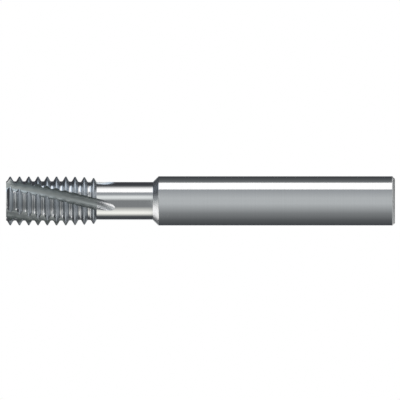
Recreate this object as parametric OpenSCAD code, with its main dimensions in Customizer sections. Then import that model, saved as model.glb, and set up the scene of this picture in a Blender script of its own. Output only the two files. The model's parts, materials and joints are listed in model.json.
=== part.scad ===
// Solid-carbide thread mill with full-form tooth rings and helical flutes.
// The tool stands on its shank end, with its axis on Z and its tip at the top.

/* [Shank] */
// Overall length, from the shank end to the tip
overall_len = 63; // [60:0.5:80]
// Diameter of the ground shank
shank_d = 8; // [7:0.1:10]
// Length of the shank, with its end chamfer
shank_len = 38.3; // [30:0.1:40]
// Leg of the chamfer at the shank end
shank_chamfer = 0.4; // [0.2:0.05:1]

/* [Neck] */
// Diameter of the neck between the head and the shank
neck_d = 6.15; // [5.8:0.05:6.4]
// Angle between the shoulder and the axis
shoulder_angle = 45; // [30:1:75]

/* [Cutting head] */
// Diameter over the tooth crests
cutter_d = 7.9; // [7.4:0.05:8.6]
// Distance from tooth to tooth
pitch = 1.5; // [1.4:0.01:1.6]
// Number of tooth rings
teeth = 10; // [4:1:11]
// Included angle of a tooth
thread_angle = 60; // [55:1:65]
// Flat on a tooth crest
crest_flat = 0.19; // [0.1:0.01:0.24]
// Flat between two teeth, with its corners
root_flat = 0.42; // [0.36:0.01:0.5]
// Radius in the corners of the tooth roots
root_round = 0.2; // [0.08:0.01:0.24]
// Land between the tip face and the first tooth's root corner
tip_land = 0.02; // [0.01:0.01:0.3]
// How much lower the last tooth is ground than the others
last_tooth_drop = 0.2; // [0.05:0.01:0.3]

/* [Flutes] */
// Number of flutes
flutes = 4; // [2:1:4]
// Right-hand helix angle of the flutes at the tooth crests
helix_angle = 16; // [5:1:25]
// Radius of a flute's round floor, which is half of its width
flute_r = 0.95; // [0.8:0.05:1.1]
// Diameter of the core that the flutes leave
core_d = 4.6; // [4.2:0.1:5.2]
// Length of neck that a flute reaches into, past the last tooth
run_out_len = 3; // [2:0.1:4]
// Radius of the arc on which a flute runs out of the neck
run_out_r = 8; // [5:0.5:12]
// Angle of the first flute at the tip, from +X
flute_start = -38; // [-90:1:90]

/* [Hidden] */
$fn = 96;

shank_r = shank_d / 2;
neck_r = neck_d / 2;
crest_r = cutter_d / 2;
core_r = core_d / 2;
flank_angle = thread_angle / 2;
flank_run = (pitch - crest_flat - root_flat) / 2;
root_r = crest_r - flank_run / tan(flank_angle);
last_flank_run = (crest_r - last_tooth_drop - neck_r) * tan(flank_angle);
shoulder_top = shank_len + (shank_r - neck_r) / tan(shoulder_angle);

// Steps in a rounded root corner
corner_steps = 3;
corner_turn = 90 - flank_angle;
corner_setback = root_round * tan(corner_turn / 2);

// Depth of the first crest below the tip, and height at which the last flank meets the neck
first_crest = tip_land + corner_setback + flank_run + crest_flat / 2;
head_base = tooth_z(teeth - 1) - crest_flat / 2 - last_flank_run;

// A flute's floor turns by twist for each millimetre, and rises out of the neck on an arc
twist = tan(helix_angle) / crest_r * 180 / PI;
flute_steps = 14;
ring_points = flute_steps + 3;
ring_step = 1;
run_out_steps = 8;
// Clearance of a flute's ends from the tip face and from the neck
flute_clear = 0.2;
flute_reach = crest_r + flute_r;
floor_rise = neck_r - core_r;
flute_top = overall_len + flute_clear;
flute_base = head_base - run_out_len + sqrt(2 * run_out_r * floor_rise - pow(floor_rise, 2));
flute_rings = ceil((flute_top - flute_base) / ring_step);
run_out_angle = acos(1 - (floor_rise + flute_clear) / run_out_r);

function tooth_z(index) = overall_len - first_crest - index * pitch;

// Rounded corner where a wall of radius base_r meets a flank.
// The flank leaves the corner upwards with side = 1 and downwards with side = -1.
// The points run from the wall to the flank.
function root_corner(base_r, corner_z, side) = [
    for (step = [0:corner_steps])
        let (turn = corner_turn * step / corner_steps)
        [
            base_r + root_round * (1 - cos(turn)),
            corner_z + side * (root_round * sin(turn) - corner_setback)
        ]
];

function reversed(points) = [for (index = [len(points) - 1:-1:0]) points[index]];

// Half section of one tooth, from its tip side to its shank side
function tooth_profile(index) =
    let (
        is_last = index == teeth - 1,
        drop = is_last ? last_tooth_drop : 0,
        half_crest = crest_flat / 2,
        tip_run = flank_run - drop * tan(flank_angle),
        base_r = is_last ? neck_r : root_r,
        base_run = is_last ? last_flank_run : flank_run
    )
    concat(
        root_corner(root_r, tooth_z(index) + half_crest + tip_run, -1),
        [
            [crest_r - drop, tooth_z(index) + half_crest],
            [crest_r - drop, tooth_z(index) - half_crest]
        ],
        reversed(root_corner(base_r, tooth_z(index) - half_crest - base_run, 1))
    );

function tool_profile() = concat(
    [[0, 0], [0, overall_len], [root_r, overall_len]],
    [for (index = [0:teeth - 1]) each tooth_profile(index)],
    [
        [neck_r, shoulder_top],
        [shank_r, shank_len],
        [shank_r, shank_chamfer],
        [shank_r - shank_chamfer, 0]
    ]
);

// Floor of a flute as [distance from the axis, height], from above the tip to clear of the neck
function flute_floor() = concat(
    [
        for (ring = [0:flute_rings])
            [core_r, flute_top + (flute_base - flute_top) * ring / flute_rings]
    ],
    [
        for (step = [1:run_out_steps])
            let (turn = run_out_angle * step / run_out_steps)
            [core_r + run_out_r * (1 - cos(turn)), flute_base - run_out_r * sin(turn)]
    ]
);

// Section of a flute, with a round floor at the given distance and parallel walls, in the XY plane
function flute_section(floor_distance) = concat(
    [
        for (step = [0:flute_steps])
            let (angle = 90 + 180 * step / flute_steps)
            [floor_distance + flute_r * (1 + cos(angle)), flute_r * sin(angle)]
    ],
    [[flute_reach, -flute_r], [flute_reach, flute_r]]
);

function flute_ring(place) =
    let (turn = flute_start - twist * (overall_len - place[1]))
    [
        for (point = flute_section(place[0]))
            [
                point[0] * cos(turn) - point[1] * sin(turn),
                point[0] * sin(turn) + point[1] * cos(turn),
                place[1]
            ]
    ];

// Space that the grinding wheel clears for one flute
module flute() {
    path = flute_floor();
    last = len(path) - 1;
    points = [for (place = path) each flute_ring(place)];
    walls = [
        for (ring = [0:last - 1], side = [0:ring_points - 1])
            let (
                here = ring * ring_points,
                next = (side + 1) % ring_points
            )
            each [
                [here + side, here + next, here + ring_points + side],
                [here + next, here + ring_points + next, here + ring_points + side]
            ]
    ];
    top_cap = [for (side = [ring_points - 1:-1:0]) side];
    base_cap = [for (side = [0:ring_points - 1]) last * ring_points + side];
    polyhedron(points, concat(walls, [top_cap, base_cap]));
}

// The tool, ground from one carbide rod
module thread_mill() {
    color("silver")
    difference() {
        rotate_extrude() polygon(tool_profile());
        for (index = [0:flutes - 1])
            rotate(index * 360 / flutes) flute();
    }
}

thread_mill();
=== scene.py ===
"""A thread mill ground from one carbide rod, with its studio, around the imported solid."""

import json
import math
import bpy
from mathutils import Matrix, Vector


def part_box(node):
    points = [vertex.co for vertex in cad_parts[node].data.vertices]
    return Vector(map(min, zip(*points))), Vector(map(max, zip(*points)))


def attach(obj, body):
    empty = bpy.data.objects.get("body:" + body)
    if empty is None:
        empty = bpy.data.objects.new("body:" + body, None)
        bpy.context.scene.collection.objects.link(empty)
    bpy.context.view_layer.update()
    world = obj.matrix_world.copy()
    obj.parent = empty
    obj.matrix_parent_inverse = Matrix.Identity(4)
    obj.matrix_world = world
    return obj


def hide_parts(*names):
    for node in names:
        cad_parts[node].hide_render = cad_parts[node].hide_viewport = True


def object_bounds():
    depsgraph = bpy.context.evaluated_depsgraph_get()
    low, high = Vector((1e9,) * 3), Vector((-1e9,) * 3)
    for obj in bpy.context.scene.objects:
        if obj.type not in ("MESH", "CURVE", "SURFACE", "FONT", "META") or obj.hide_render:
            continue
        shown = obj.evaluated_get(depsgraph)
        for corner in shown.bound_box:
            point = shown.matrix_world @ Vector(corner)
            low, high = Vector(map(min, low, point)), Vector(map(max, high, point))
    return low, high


bl_info = {
    "name": "Thread Mill",
    "version": (1, 0, 0),
    "blender": (4, 5, 0),
    "location": "View3D > Sidebar > Thread Mill",
    "description": "Builds a ground carbide thread mill and the studio it is shown in",
    "category": "Object",
}

import bpy
from bpy.props import FloatProperty, FloatVectorProperty, IntProperty, PointerProperty
from bpy.types import Operator, Panel, PropertyGroup
from mathutils import Matrix, Vector

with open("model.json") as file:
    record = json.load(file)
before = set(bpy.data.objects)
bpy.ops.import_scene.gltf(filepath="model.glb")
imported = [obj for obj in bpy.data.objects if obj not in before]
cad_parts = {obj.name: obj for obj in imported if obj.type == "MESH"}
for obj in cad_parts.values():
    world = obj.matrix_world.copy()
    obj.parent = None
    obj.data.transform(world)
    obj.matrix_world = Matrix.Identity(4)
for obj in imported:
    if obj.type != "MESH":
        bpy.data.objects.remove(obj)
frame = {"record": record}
CAD_LOW, CAD_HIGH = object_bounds()

NODE = "thread_mill"
PIECE = "ground_thread_mill"
MM = 0.001
FULL_TURN = 2 * math.pi
MERGE_DISTANCE = 0.0001 * MM
NODE_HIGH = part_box(NODE)[1]
SHANK_MOUNT = next(mount for mount in frame["record"]["mounts"] if mount["name"] == "shank")
SHANK_R = SHANK_MOUNT["dims"]["r_mm"] * MM

# Material slots of the tool, in the order in which its finishes are made
SHANK_SLOT = 0
NECK_SLOT = 1
FLUTE_PAINTED_SHADE_SLOT = 2
RELIEF_PAINTED_SHADE_SLOT = 3
PLUNGE_SLOT = 4
FORM_SLOT = 5


def linear_colour(code):
    """Turns an sRGB hex code into linear red, green and blue."""
    channels = [int(code[start:start + 2], 16) / 255 for start in (0, 2, 4)]
    return tuple(c / 12.92 if c <= 0.04045 else ((c + 0.055) / 1.055) ** 2.4 for c in channels)


def length(name, description, millimetres):
    """A length property with its default in millimetres."""
    return FloatProperty(
        name=name,
        description=description,
        default=millimetres * MM,
        min=0.0,
        precision=5,
        subtype="DISTANCE",
        unit="LENGTH",
    )


def angle(name, description, degrees):
    """An angle property with its default in degrees."""
    return FloatProperty(name=name, description=description, default=math.radians(degrees), subtype="ANGLE")


def colour(name, description, code):
    """A colour property with its default as an sRGB hex code."""
    return FloatVectorProperty(
        name=name,
        description=description,
        default=linear_colour(code),
        size=3,
        min=0.0,
        max=1.0,
        subtype="COLOR",
    )


class ThreadMillSizes(PropertyGroup):
    """Sizes of the tool"""

    overall_len: length("Overall length", "From the shank end to the tip", NODE_HIGH.z / MM)
    shank_r: length("Shank radius", "Radius of the ground shank", SHANK_R / MM)
    shank_len: length("Shank length", "Length of the shank with its chamfer", 38.3)
    shank_chamfer: length("Shank chamfer", "Leg of the chamfer at the shank end", 0.4)
    neck_r: length("Neck radius", "Radius of the neck behind the teeth", 3.075)
    shoulder_angle: angle("Shoulder angle", "Angle between the shoulder and the axis", 45)
    crest_r: length("Crest radius", "Radius over the tooth crests", 3.95)
    pitch: length("Pitch", "Distance from tooth to tooth", 1.5)
    teeth: IntProperty(name="Teeth", description="Number of tooth rings", default=10, min=1)
    thread_angle: angle("Thread angle", "Included angle of a tooth", 60)
    crest_flat: length("Crest flat", "Flat on a tooth crest", 0.19)
    root_flat: length("Root flat", "Flat between two teeth, with its corners", 0.42)
    root_round: length("Root radius", "Radius in the corners of the tooth roots", 0.2)
    tip_land: length("Tip land", "Land between the tip face and the first root corner", 0.02)
    last_tooth_drop: length("Last tooth drop", "How much lower the last tooth is ground", 0.2)
    crest_round: length("Crest rounding", "Rounding left on the crest corners by the wheel", 0.05)
    edge_round: length("Edge rounding", "Rounding of the shoulder and chamfer edges", 0.06)
    flutes: IntProperty(name="Flutes", description="Number of flutes", default=4, min=1)
    helix_angle: angle("Helix angle", "Right-hand helix of the flutes at the crests", 16)
    flute_r: length("Flute radius", "Radius of a flute's round floor, half of its width", 0.95)
    core_r: length("Core radius", "Radius of the core that the flutes leave", 2.3)
    run_out_len: length("Run-out length", "Length of neck that a flute reaches into", 3.0)
    run_out_r: length("Run-out radius", "Radius of the arc on which a flute leaves the neck", 8.0)
    flute_start: angle("Flute start", "Angle of the first flute at the tip, from +X", -38)


class ThreadMillFinish(PropertyGroup):
    """Colours of the tool's ground surfaces"""

    carbide: colour("Ground carbide", "Colour of the bare carbide", "B9BBBD")
    # The flute colour is a darker copy of the carbide, which paints shade into the flutes
    flute: colour("Flute carbide", "Colour of the flutes, which a coarser wheel leaves darker", "A1A6A6")
    # The relief colour is a darker, bluish copy of the carbide, which paints shade onto crests, shank-side
    # flanks and tip face
    relief: colour("Relief carbide", "Colour of the faces that the relief wheel leaves duller", "A2A8AE")


class ThreadMillStudio(PropertyGroup):
    """The studio round the tool"""

    view_width: length("View width", "Width of the camera's view", 64.81)
    view_offset_z: length("View offset along", "How far the view's centre lies above the middle", 0.081)
    view_offset_x: length("View offset across", "How far the view's centre lies beside the axis", 0.154)
    floor_size: length("Floor size", "Side of the floor", 3000.0)
    floor: colour("Floor", "Colour of the floor", "F1F1EF")


def deselect_all():
    """Leaves object mode with nothing selected."""
    if bpy.context.mode != "OBJECT":
        bpy.ops.object.mode_set(mode="OBJECT")
    bpy.ops.object.select_all(action="DESELECT")


def start_point(name, place):
    """Makes an object of one vertex at a place, selected in edit mode."""
    deselect_all()
    bpy.ops.mesh.primitive_plane_add(size=MM, location=(0, 0, 0))
    made = bpy.context.active_object
    made.name = name
    made.data.name = name
    bpy.ops.object.mode_set(mode="EDIT")
    bpy.ops.mesh.select_all(action="SELECT")
    bpy.ops.mesh.merge(type="CENTER")
    bpy.ops.transform.translate(value=place)
    return made


def extend(step):
    """Extrudes what is selected by a step."""
    bpy.ops.mesh.extrude_region_move(TRANSFORM_OT_translate={"value": step})


def select_points(made, test):
    """Selects the vertices that pass a test, in edit mode."""
    bpy.ops.mesh.select_all(action="DESELECT")
    bpy.ops.object.mode_set(mode="OBJECT")
    for vertex in made.data.vertices:
        vertex.select = test(vertex.co)
    bpy.ops.object.mode_set(mode="EDIT")
    bpy.ops.mesh.select_mode(type="VERT")


def turn_selected(turn):
    """Turns what is selected about the Z axis, anticlockwise seen from the tip."""
    # With no window the operator turns the other way
    bpy.ops.transform.rotate(value=-turn, orient_axis="Z", center_override=(0, 0, 0))


def spin_all(turn, steps):
    """Spins the whole outline about the Z axis, anticlockwise seen from the tip."""
    bpy.ops.mesh.select_all(action="SELECT")
    # With no window the operator turns the other way
    bpy.ops.mesh.spin(steps=steps, angle=-turn, center=(0, 0, 0), axis=(0, 0, 1))


def close_surface():
    """Joins the points that meet and turns all faces outwards."""
    bpy.ops.mesh.select_all(action="SELECT")
    bpy.ops.mesh.remove_doubles(threshold=MERGE_DISTANCE)
    bpy.ops.mesh.normals_make_consistent(inside=False)


def derived_sizes(sizes):
    """Sizes that follow from the tool's own: flank, root, shoulder and head."""
    flank = sizes.thread_angle / 2
    flank_run = (sizes.pitch - sizes.crest_flat - sizes.root_flat) / 2
    corner_turn = math.pi / 2 - flank
    setback = sizes.root_round * math.tan(corner_turn / 2)
    first_crest = sizes.overall_len - sizes.tip_land - setback - flank_run - sizes.crest_flat / 2
    last_crest = first_crest - (sizes.teeth - 1) * sizes.pitch
    last_run = (sizes.crest_r - sizes.last_tooth_drop - sizes.neck_r) * math.tan(flank)
    return {
        "flank": flank,
        "flank_run": flank_run,
        "corner_turn": corner_turn,
        "root_r": sizes.crest_r - flank_run / math.tan(flank),
        "last_run": last_run,
        "first_crest": first_crest,
        "head_base": last_crest - sizes.crest_flat / 2 - last_run,
        "shoulder_top": sizes.shank_len + (sizes.shank_r - sizes.neck_r) / math.tan(sizes.shoulder_angle),
        "twist": math.tan(sizes.helix_angle) / sizes.crest_r,
    }


def tool_outline(sizes, derived):
    """Half outline of the tool as (radius, height), with sharp corners, from the shank end's centre."""
    # Points close to the ends of the long walls and of the shoulder keep their shading straight
    hold = 0.06 * MM
    hold_out = hold * math.tan(sizes.shoulder_angle)
    outline = [
        (0, 0),
        (sizes.shank_r - sizes.shank_chamfer, 0),
        (sizes.shank_r, sizes.shank_chamfer),
        (sizes.shank_r, sizes.shank_chamfer + hold),
        (sizes.shank_r, sizes.shank_len - hold),
        (sizes.shank_r, sizes.shank_len),
        (sizes.shank_r - hold_out, sizes.shank_len + hold),
        (sizes.neck_r + hold_out, derived["shoulder_top"] - hold),
        (sizes.neck_r, derived["shoulder_top"]),
        (sizes.neck_r, derived["shoulder_top"] + hold),
        (sizes.neck_r, derived["head_base"] - hold),
    ]
    half_crest = sizes.crest_flat / 2
    for index in reversed(range(sizes.teeth)):
        middle = derived["first_crest"] - index * sizes.pitch
        is_last = index == sizes.teeth - 1
        drop = sizes.last_tooth_drop if is_last else 0
        tip_run = derived["flank_run"] - drop * math.tan(derived["flank"])
        base_r = sizes.neck_r if is_last else derived["root_r"]
        base_run = derived["last_run"] if is_last else derived["flank_run"]
        outline += [
            (base_r, middle - half_crest - base_run),
            (sizes.crest_r - drop, middle - half_crest),
            (sizes.crest_r - drop, middle + half_crest),
            (derived["root_r"], middle + half_crest + tip_run),
        ]
    outline += [(derived["root_r"], sizes.overall_len), (0, sizes.overall_len)]
    return outline


def round_corners(made, radius, turn, segments, test):
    """Rounds the outline's corners that pass a test, each of which turns by a known angle."""
    select_points(made, test)
    bpy.ops.mesh.bevel(
        offset=radius * math.tan(turn / 2),
        segments=segments,
        affect="VERTICES",
        offset_type="OFFSET",
    )


def turn_blank(sizes, derived):
    """Draws the tool's half outline, rounds its corners and spins it into the blank."""
    crest_segments = 3
    root_segments = 5
    edge_segments = 3
    spin_steps = 256
    outline = [Vector((r, 0, z)) for r, z in tool_outline(sizes, derived)]
    blank = start_point(PIECE, outline[0])
    for before, after in zip(outline, outline[1:]):
        extend(after - before)

    slack = 0.001 * MM
    head_start = derived["head_base"] - slack
    tip_edge = sizes.overall_len - slack

    def is_crest(place):
        return place.z > head_start and place.x > sizes.crest_r - sizes.last_tooth_drop - slack

    def is_root(place):
        return head_start < place.z < tip_edge and slack < place.x < derived["root_r"] + slack

    def is_edge(place):
        corners = (sizes.shank_chamfer, sizes.shank_len, derived["shoulder_top"])
        return place.x > slack and any(abs(place.z - corner) < slack for corner in corners)

    round_corners(blank, sizes.crest_round, derived["corner_turn"], crest_segments, is_crest)
    round_corners(blank, sizes.root_round, derived["corner_turn"], root_segments, is_root)
    round_corners(blank, sizes.edge_round, sizes.shoulder_angle, edge_segments, is_edge)
    spin_all(-FULL_TURN, spin_steps)
    close_surface()
    return blank


def flute_path(sizes, derived):
    """Middle of a flute's round floor as (distance from the axis, height), from above the tip down."""
    clear = 0.2 * MM
    ring_step = 0.4 * MM
    run_out_steps = 16
    middle = sizes.core_r + sizes.flute_r
    rise = sizes.neck_r - sizes.core_r
    top = sizes.overall_len + clear
    run = math.sqrt(2 * sizes.run_out_r * rise - rise ** 2)
    base = derived["head_base"] - sizes.run_out_len + run
    rings = math.ceil((top - base) / ring_step)
    path = [(middle, top + (base - top) * ring / rings) for ring in range(rings + 1)]
    run_out = math.acos(1 - (rise + clear) / sizes.run_out_r)
    for step in range(1, run_out_steps + 1):
        turn = run_out * step / run_out_steps
        lift = sizes.run_out_r * (1 - math.cos(turn))
        path.append((middle + lift, base - sizes.run_out_r * math.sin(turn)))
    return path


def flute_direction(sizes, derived, height):
    """Angle of the first flute's middle at a height."""
    return sizes.flute_start - derived["twist"] * (sizes.overall_len - height)


def sweep_flutes(sizes, derived):
    """Sweeps the wheel's round-nosed section along each flute."""
    section_points = 72
    path = flute_path(sizes, derived)
    start_r, start_z = path[0]
    deselect_all()
    bpy.ops.mesh.primitive_circle_add(
        vertices=section_points,
        radius=sizes.flute_r,
        fill_type="NGON",
        location=(0, 0, 0),
    )
    flutes = bpy.context.active_object
    flutes.name = "flute_cutters"
    bpy.ops.object.mode_set(mode="EDIT")
    # The outer half of the circle is pulled outwards, which leaves parallel walls
    select_points(flutes, lambda place: place.x > MERGE_DISTANCE)
    bpy.ops.transform.translate(value=(sizes.crest_r - sizes.core_r, 0, 0))
    bpy.ops.mesh.select_all(action="SELECT")
    bpy.ops.transform.translate(value=(start_r, 0, start_z))
    turn_selected(flute_direction(sizes, derived, start_z))
    for (before_r, before_z), (after_r, after_z) in zip(path, path[1:]):
        before = flute_direction(sizes, derived, before_z)
        after = flute_direction(sizes, derived, after_z)
        out = after_r - before_r
        extend((out * math.cos(before), out * math.sin(before), after_z - before_z))
        turn_selected(after - before)
    bpy.ops.mesh.select_all(action="SELECT")
    for copy in range(1, sizes.flutes):
        bpy.ops.mesh.duplicate()
        turn_selected(FULL_TURN / sizes.flutes)
    close_surface()
    return flutes


def cut_flutes(blank, flutes):
    """Takes the flutes out of the blank, joins the points that meet and keeps its sharp edges."""
    smooth_angle = math.radians(25)
    deselect_all()
    blank.select_set(True)
    bpy.context.view_layer.objects.active = blank
    cut = blank.modifiers.new("flutes", "BOOLEAN")
    cut.object = flutes
    cut.operation = "DIFFERENCE"
    cut.solver = "EXACT"
    cut.material_mode = "INDEX"
    bpy.ops.object.modifier_apply(modifier=cut.name)
    bpy.data.objects.remove(flutes)
    bpy.ops.object.mode_set(mode="EDIT")
    bpy.ops.mesh.select_all(action="SELECT")
    bpy.ops.mesh.remove_doubles(threshold=MERGE_DISTANCE)
    bpy.ops.object.mode_set(mode="OBJECT")
    bpy.ops.object.shade_smooth_by_angle(angle=smooth_angle)


def add_node(tree, kind, inputs=None, **settings):
    """Adds a node with its settings. An input is a value or another node's output."""
    node = tree.nodes.new(kind)
    for name, value in settings.items():
        setattr(node, name, value)
    for name, value in (inputs or {}).items():
        if isinstance(value, bpy.types.NodeSocket):
            tree.links.new(value, node.inputs[name])
        else:
            node.inputs[name].default_value = value
    return node


def calculate(tree, operation, first, second):
    """Output of a math node with two inputs."""
    return add_node(tree, "ShaderNodeMath", {0: first, 1: second}, operation=operation).outputs["Value"]


def start_material(name):
    """Makes an empty node material and returns it with its tree and output node."""
    material = bpy.data.materials.new(name)
    material.use_nodes = True
    tree = material.node_tree
    tree.nodes.clear()
    output = add_node(tree, "ShaderNodeOutputMaterial")
    return material, tree, output


# Noise that stands for a wheel's lines: how fine it goes, the strength of its fine part, its usual range
LINE_DETAIL = 2.0
LINE_FINE_SHARE = 0.6
LINE_LOW = 0.3
LINE_HIGH = 0.7

# Darkest and lightest lines, as shares of the base colour
LINE_DARK = 0.97
LINE_LIGHT = 1.03

# Depths in millimetres of the lines that a fine and a coarse wheel leave
FINE_DEPTH = 0.00002
COARSE_DEPTH = 0.0002


def ground_carbide(name, base, smooth, rough, line_mm, depth_mm, across):
    """Carbide ground by a wheel: a bare grey metal with fine parallel lines that break up its gloss.

    across is a function that turns the place's x, y and z outputs into the distance across the lines.
    """
    material, tree, output = start_material(name)
    place = add_node(tree, "ShaderNodeTexCoord").outputs["Object"]
    axes = add_node(tree, "ShaderNodeSeparateXYZ", {"Vector": place}).outputs
    lines = add_node(
        tree,
        "ShaderNodeTexNoise",
        {
            "W": across(tree, axes),
            "Scale": 1 / (line_mm * MM),
            "Detail": LINE_DETAIL,
            "Roughness": LINE_FINE_SHARE,
        },
        noise_dimensions="1D",
    ).outputs["Fac"]
    roughness = add_node(
        tree,
        "ShaderNodeMapRange",
        {"Value": lines, "From Min": LINE_LOW, "From Max": LINE_HIGH, "To Min": smooth, "To Max": rough},
    ).outputs["Result"]
    shade = add_node(
        tree,
        "ShaderNodeMix",
        {
            "Factor": lines,
            "A": tuple(LINE_DARK * c for c in base) + (1,),
            "B": tuple(min(1, LINE_LIGHT * c) for c in base) + (1,),
        },
        data_type="RGBA",
    )
    bump = add_node(
        tree,
        "ShaderNodeBump",
        {"Height": lines, "Strength": 1.0, "Distance": depth_mm * MM},
    ).outputs["Normal"]
    surface = add_node(
        tree,
        "ShaderNodeBsdfPrincipled",
        {"Roughness": roughness, "Normal": bump, "Metallic": 1.0},
    )
    tree.links.new(shade.outputs[2], surface.inputs["Base Color"])
    tree.links.new(surface.outputs["BSDF"], output.inputs["Surface"])
    return material


def ground_finishes(sizes, derived, finish):
    """Makes the tool's finishes, in the order of their slots."""

    def along_axis(tree, axes):
        return axes["Z"]

    def round_flute(tree, axes):
        turn = calculate(tree, "ARCTAN2", axes["Y"], axes["X"])
        lead = calculate(tree, "MULTIPLY", axes["Z"], -derived["twist"])
        return calculate(tree, "MULTIPLY", calculate(tree, "ADD", turn, lead), sizes.crest_r)

    # Real grinding lines are a few microns apart, and are drawn wider here so that they show
    return [
        # The shank is nearly a mirror, so light lies on it in stripes with sharp edges
        ground_carbide(
            "centreless_ground_carbide",
            finish.carbide,
            smooth=0.04,
            rough=0.07,
            line_mm=0.25,
            depth_mm=FINE_DEPTH,
            across=along_axis,
        ),
        # The neck is a little softer, so its stripes blend into each other
        ground_carbide(
            "fine_ground_carbide",
            finish.carbide,
            smooth=0.06,
            rough=0.11,
            line_mm=0.2,
            depth_mm=FINE_DEPTH,
            across=along_axis,
        ),
        # The flutes' coarse wheel leaves a satin finish that mirrors nothing clearly; their darker grey is
        # painted shade
        ground_carbide(
            "flute_carbide_painted_shade",
            finish.flute,
            smooth=0.36,
            rough=0.46,
            line_mm=0.15,
            depth_mm=COARSE_DEPTH,
            across=round_flute,
        ),
        # Crests, shank-side flanks and tip face are satin, with painted shade in their darker, bluish grey,
        # so that the teeth read as grey ridges
        ground_carbide(
            "relief_carbide_painted_shade",
            finish.relief,
            smooth=0.36,
            rough=0.44,
            line_mm=0.2,
            depth_mm=FINE_DEPTH,
            across=along_axis,
        ),
        # Shoulder and run-outs, where the wheel plunges in, shine softly with no clear mirror image
        ground_carbide(
            "plunge_ground_carbide",
            finish.carbide,
            smooth=0.26,
            rough=0.32,
            line_mm=0.2,
            depth_mm=FINE_DEPTH,
            across=along_axis,
        ),
        # Roots and tip-side flanks keep the form wheel's gloss, so small glints lie between the teeth
        ground_carbide(
            "form_ground_carbide",
            finish.carbide,
            smooth=0.12,
            rough=0.18,
            line_mm=0.2,
            depth_mm=FINE_DEPTH,
            across=along_axis,
        ),
    ]


def blank_slot(face, sizes, derived):
    """Slot of the finish that a face of the blank has, by its height and the way it faces."""
    if face.center.z < sizes.shank_len:
        return SHANK_SLOT
    if face.center.z < derived["shoulder_top"]:
        return PLUNGE_SLOT
    if face.center.z < derived["head_base"]:
        return NECK_SLOT
    crest_margin = 0.03 * MM
    shank_side = -0.6
    tip_side = 0.95
    is_crest = face.center.xy.length > sizes.crest_r - sizes.last_tooth_drop - crest_margin
    is_back_flank = face.normal.z < shank_side
    is_tip = face.normal.z > tip_side
    # Crests, shank-side flanks and tip face take the relief colour, which paints shade onto them
    return RELIEF_PAINTED_SHADE_SLOT if is_crest or is_back_flank or is_tip else FORM_SLOT


class THREADMILL_OT_tool(Operator):
    """Turn the blank, grind its flutes and give each surface its finish"""

    bl_idname = "threadmill.tool"
    bl_label = "Grind Thread Mill"

    def execute(self, context):
        sizes = context.scene.thread_mill_sizes
        derived = derived_sizes(sizes)
        blank = turn_blank(sizes, derived)
        flutes = sweep_flutes(sizes, derived)
        deselect_all()
        materials = ground_finishes(sizes, derived, context.scene.thread_mill_finish)
        for made in (blank, flutes):
            for material in materials:
                made.data.materials.append(material)
        # Flute faces in the head take the flute colour, which paints shade into them; the run-outs keep the
        # plunge finish
        for face in flutes.data.polygons:
            face.material_index = FLUTE_PAINTED_SHADE_SLOT if face.center.z > derived["head_base"] else PLUNGE_SLOT
        for face in blank.data.polygons:
            face.material_index = blank_slot(face, sizes, derived)
        cut_flutes(blank, flutes)
        if len(blank.data.materials) != len(materials):
            raise RuntimeError("the flutes brought other materials with them")

        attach(blank, "root")
        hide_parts(NODE)
        return {"FINISHED"}


# Shades of paper that the studio's cards are made of
WHITE = "FFFFFF"
COOL_WHITE = "EAF4FF"
IVORY = "F0F0EA"
PALE = "D8DCDC"
COOL_GREY = "B0C0D0"
SILVER = "ACB0B2"
GREY = "8E9296"
MID_GREY = "787B7D"
SLATE = "545759"
BLACK = "383A3E"

# Cards round the tool: angles counted from the camera towards +X, with the paper there.
# A card hangs between each two angles that differ, and its shade changes evenly from one to the other.
SHANK_TONES = [
    (180, GREY), (168, GREY), (168, BLACK), (140, BLACK), (110, SLATE), (91, MID_GREY), (91, WHITE),
    (53, WHITE), (53, GREY), (12, SILVER), (-12, SILVER), (-57, MID_GREY), (-97, SLATE), (-145, BLACK),
    (-156, BLACK), (-156, SILVER), (-180, SILVER),
]
NECK_TONES = [
    (180, GREY), (160, GREY), (160, BLACK), (112, BLACK), (98, SLATE), (74, WHITE), (52, WHITE), (52, GREY),
    (38, GREY), (26, PALE), (17, PALE), (2, MID_GREY), (-34, MID_GREY), (-69, IVORY), (-79, IVORY),
    (-102, SLATE), (-120, BLACK), (-146, BLACK), (-146, SILVER), (-180, SILVER),
]
HEAD_TONES = [
    (180, BLACK), (96, BLACK), (96, COOL_WHITE), (54, COOL_WHITE), (54, MID_GREY), (38, GREY), (-6, SLATE),
    (-50, SLATE), (-64, GREY), (-100, GREY), (-110, SLATE), (-180, BLACK),
]
NEAR_TIP_TONES = [
    (180, BLACK), (116, BLACK), (112, COOL_GREY), (60, COOL_GREY), (60, PALE), (0, PALE), (-25, SILVER),
    (-50, SILVER), (-52, WHITE), (-133, WHITE), (-136, BLACK), (-180, BLACK),
]
FAR_TIP_TONES = [
    (180, BLACK), (90, BLACK), (60, SLATE), (-50, SLATE), (-60, WHITE), (-133, WHITE), (-136, BLACK),
    (-180, BLACK),
]

# Radii and heights of the cards, in millimetres
FOOT_R = 5
RING_R = 40
OUTER_R = 120
FLOOR_TOP = 0.3
SHANK_TOP = 38.9
NECK_TOP = 50.3
HEAD_TOP = 66
OVER_HEAD_TOP = 98
NEAR_TIP_TOP = 215
FAR_TIP_TOP = 450

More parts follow.
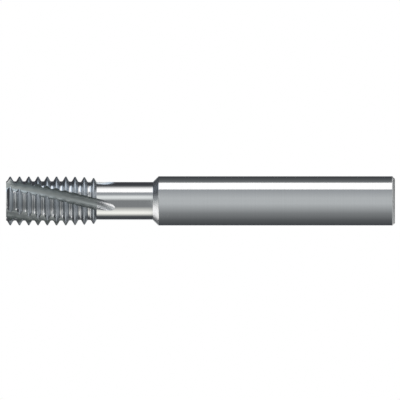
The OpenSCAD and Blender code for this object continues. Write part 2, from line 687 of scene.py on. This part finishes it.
# Each zone of cards is a line that turns round the axis, from one radius and height to another
ZONES = {
    "floor": ((FOOT_R, FLOOR_TOP), (RING_R, FLOOR_TOP), SHANK_TONES),
    "shank": ((RING_R, FLOOR_TOP), (RING_R, SHANK_TOP), SHANK_TONES),
    "neck": ((RING_R, SHANK_TOP), (RING_R, NECK_TOP), NECK_TONES),
    "head": ((RING_R, NECK_TOP), (RING_R, HEAD_TOP), HEAD_TONES),
    "over_head": ((OUTER_R, HEAD_TOP), (OUTER_R, OVER_HEAD_TOP), HEAD_TONES),
    "near_tip": ((OUTER_R, OVER_HEAD_TOP), (OUTER_R, NEAR_TIP_TOP), NEAR_TIP_TONES),
    "far_tip": ((OUTER_R, NEAR_TIP_TOP), (OUTER_R, FAR_TIP_TOP), FAR_TIP_TONES),
}

# Flat cards over the tip: distances along X in millimetres with the paper there, and the reach along Y
TOP_MEETING = 30
TOP_CARDS = {
    "front_top_card": (
        [(-OUTER_R, WHITE), (-104, WHITE), (0, PALE), (55, GREY), (OUTER_R, SLATE)],
        (-OUTER_R, TOP_MEETING),
    ),
    "back_top_card": ([(-OUTER_R, BLACK), (OUTER_R, BLACK)], (TOP_MEETING, OUTER_R)),
}


def card_direction(degrees):
    """Direction from the axis to a card, with 0 towards the camera and 90 towards +X."""
    turn = math.radians(degrees)
    return Vector((math.sin(turn), -math.cos(turn), 0))


def card_material():
    """Evenly lit translucent card: it gives off the tone that is stored on its points."""
    material, tree, output = start_material("studio_card")
    tone = add_node(tree, "ShaderNodeAttribute", attribute_name="tone").outputs["Color"]
    glow = add_node(tree, "ShaderNodeEmission", {"Color": tone, "Strength": 1.0})
    tree.links.new(glow.outputs["Emission"], output.inputs["Surface"])
    return material


def finish_card(card, tone_at, finish, material):
    """Stores on each point the light that gives the tool a tone, and shows the card only in its gloss."""
    bpy.ops.object.mode_set(mode="OBJECT")
    tone = card.data.attributes.new("tone", "FLOAT_COLOR", "POINT")
    for vertex, value in zip(card.data.vertices, tone.data):
        value.color = [level / base for level, base in zip(tone_at(vertex.co), finish.carbide)] + [1.0]
    card.data.materials.append(material)
    card.visible_camera = False
    card.visible_diffuse = False
    card.visible_shadow = False


def hang_card(name, near, far, first_stop, last_stop, finish, material):
    """Hangs one card round the tool, by turning the line between two places from one angle to another."""
    degrees_per_step = 2.0
    start, first_paper = first_stop
    end, last_paper = last_stop
    sweep = abs(end - start)
    out = card_direction(start)
    low, high = (out * radius * MM + Vector((0, 0, height * MM)) for radius, height in (near, far))
    card = start_point(name, low)
    extend(high - low)
    spin_all(math.radians(end - start), max(1, round(sweep / degrees_per_step)))
    first, last = linear_colour(first_paper), linear_colour(last_paper)

    def tone_at(point):
        turn = math.degrees(out.xy.angle_signed(point.xy))
        share = min(1.0, abs(turn) / sweep)
        return [a + (b - a) * share for a, b in zip(first, last)]

    finish_card(card, tone_at, finish, material)


def hang_top_card(name, stops, reach, finish, material):
    """Hangs one flat card above the tip."""
    places = [place * MM for place, paper in stops]
    front, back = (y * MM for y in reach)
    card = start_point(name, (places[0], front, FAR_TIP_TOP * MM))
    for before, after in zip(places, places[1:]):
        extend((after - before, 0, 0))
    bpy.ops.mesh.select_all(action="SELECT")
    extend((0, back - front, 0))

    def tone_at(point):
        paper = min(stops, key=lambda stop: abs(stop[0] * MM - point.x))[1]
        return linear_colour(paper)

    finish_card(card, tone_at, finish, material)


def lay_floor(studio):
    """Lays the pale matt floor that the tool stands on."""
    board_roughness = 0.5
    deselect_all()
    bpy.ops.mesh.primitive_plane_add(size=studio.floor_size, location=(0, 0, CAD_LOW.z))
    floor = bpy.context.active_object
    floor.name = "floor"
    # Matt board shows no gloss, only the tool's soft shadow
    material, tree, output = start_material("matt_white_board")
    surface = add_node(
        tree,
        "ShaderNodeBsdfDiffuse",
        {"Color": tuple(studio.floor) + (1,), "Roughness": board_roughness},
    )
    tree.links.new(surface.outputs["BSDF"], output.inputs["Surface"])
    floor.data.materials.append(material)


def light_world():
    """White background for the camera and for gloss, and an even soft light for the floor."""
    soft_strength = 0.75
    white_strength = 1.0
    white_light = (1, 1, 1, 1)
    world = bpy.data.worlds.new("white_studio")
    bpy.context.scene.world = world
    world.use_nodes = True
    tree = world.node_tree
    tree.nodes.clear()
    path = add_node(tree, "ShaderNodeLightPath").outputs
    seen = calculate(tree, "MAXIMUM", path["Is Camera Ray"], path["Is Glossy Ray"])
    shown = calculate(tree, "MAXIMUM", seen, path["Is Transmission Ray"])
    soft = add_node(tree, "ShaderNodeBackground", {"Color": white_light, "Strength": soft_strength})
    white = add_node(tree, "ShaderNodeBackground", {"Color": white_light, "Strength": white_strength})
    mix = add_node(tree, "ShaderNodeMixShader", {"Fac": shown})
    tree.links.new(soft.outputs["Background"], mix.inputs[1])
    tree.links.new(white.outputs["Background"], mix.inputs[2])
    output = add_node(tree, "ShaderNodeOutputWorld")
    tree.links.new(mix.outputs["Shader"], output.inputs["Surface"])


def hang_lamp():
    """Hangs one large soft lamp above and in front, for the shadow on the floor."""
    place = Vector((-250, -300, 450)) * MM
    diameter = 300 * MM
    watts = 1.6
    deselect_all()
    target = (CAD_LOW + CAD_HIGH) / 2
    facing = (target - place).to_track_quat("-Z", "Y").to_euler()
    bpy.ops.object.light_add(type="AREA", location=place, rotation=facing)
    lamp = bpy.context.active_object
    lamp.name = "soft_lamp"
    lamp.data.shape = "DISK"
    lamp.data.size = diameter
    lamp.data.energy = watts
    lamp.visible_glossy = False


def set_camera(studio):
    """Sets the camera level with the tool, turned so that the tip lies at the left of the picture."""
    distance = 500 * MM
    deselect_all()
    middle = (CAD_LOW + CAD_HIGH) / 2
    right, up, back = Vector((0, 0, -1)), Vector((1, 0, 0)), Vector((0, -1, 0))
    centre = Vector((middle.x + studio.view_offset_x, middle.y, middle.z + studio.view_offset_z))
    facing = Matrix((right, up, back)).transposed().to_euler()
    bpy.ops.object.camera_add(location=centre + back * distance, rotation=facing)
    camera = bpy.context.active_object
    camera.name = "camera"
    camera.data.type = "ORTHO"
    camera.data.ortho_scale = studio.view_width
    bpy.context.scene.camera = camera


class THREADMILL_OT_stage(Operator):
    """Lay the floor, hang the cards and the lamp, and set the camera"""

    bl_idname = "threadmill.stage"
    bl_label = "Set Up Studio"

    def execute(self, context):
        studio = context.scene.thread_mill_studio
        finish = context.scene.thread_mill_finish
        lay_floor(studio)
        material = card_material()
        for zone, (near, far, stops) in ZONES.items():
            for index, (first, last) in enumerate(zip(stops, stops[1:])):
                if first[0] != last[0]:
                    hang_card(f"{zone}_card_{index}", near, far, first, last, finish, material)
        for name, (stops, reach) in TOP_CARDS.items():
            hang_top_card(name, stops, reach, finish, material)
        light_world()
        hang_lamp()
        set_camera(studio)
        context.scene.view_settings.view_transform = "Standard"
        return {"FINISHED"}


class THREADMILL_PT_panel(Panel):
    """Sizes, finishes and studio of the thread mill"""

    bl_idname = "THREADMILL_PT_panel"
    bl_label = "Thread Mill"
    bl_space_type = "VIEW_3D"
    bl_region_type = "UI"
    bl_category = "Thread Mill"

    def draw(self, context):
        layout = self.layout
        layout.use_property_split = True
        for group, operator in (
            (context.scene.thread_mill_sizes, None),
            (context.scene.thread_mill_finish, THREADMILL_OT_tool.bl_idname),
            (context.scene.thread_mill_studio, THREADMILL_OT_stage.bl_idname),
        ):
            column = layout.column(align=True)
            for name in group.__annotations__:
                column.prop(group, name)
            if operator:
                layout.operator(operator)


CLASSES = (
    ThreadMillSizes,
    ThreadMillFinish,
    ThreadMillStudio,
    THREADMILL_OT_tool,
    THREADMILL_OT_stage,
    THREADMILL_PT_panel,
)


def register():
    for made in CLASSES:
        bpy.utils.register_class(made)
    bpy.types.Scene.thread_mill_sizes = PointerProperty(type=ThreadMillSizes)
    bpy.types.Scene.thread_mill_finish = PointerProperty(type=ThreadMillFinish)
    bpy.types.Scene.thread_mill_studio = PointerProperty(type=ThreadMillStudio)


def unregister():
    del bpy.types.Scene.thread_mill_studio
    del bpy.types.Scene.thread_mill_finish
    del bpy.types.Scene.thread_mill_sizes
    for made in reversed(CLASSES):
        bpy.utils.unregister_class(made)


def main():
    """Builds the tool and its studio."""
    register()
    bpy.ops.threadmill.tool()
    bpy.ops.threadmill.stage()


if __name__ == "__main__":
    main()
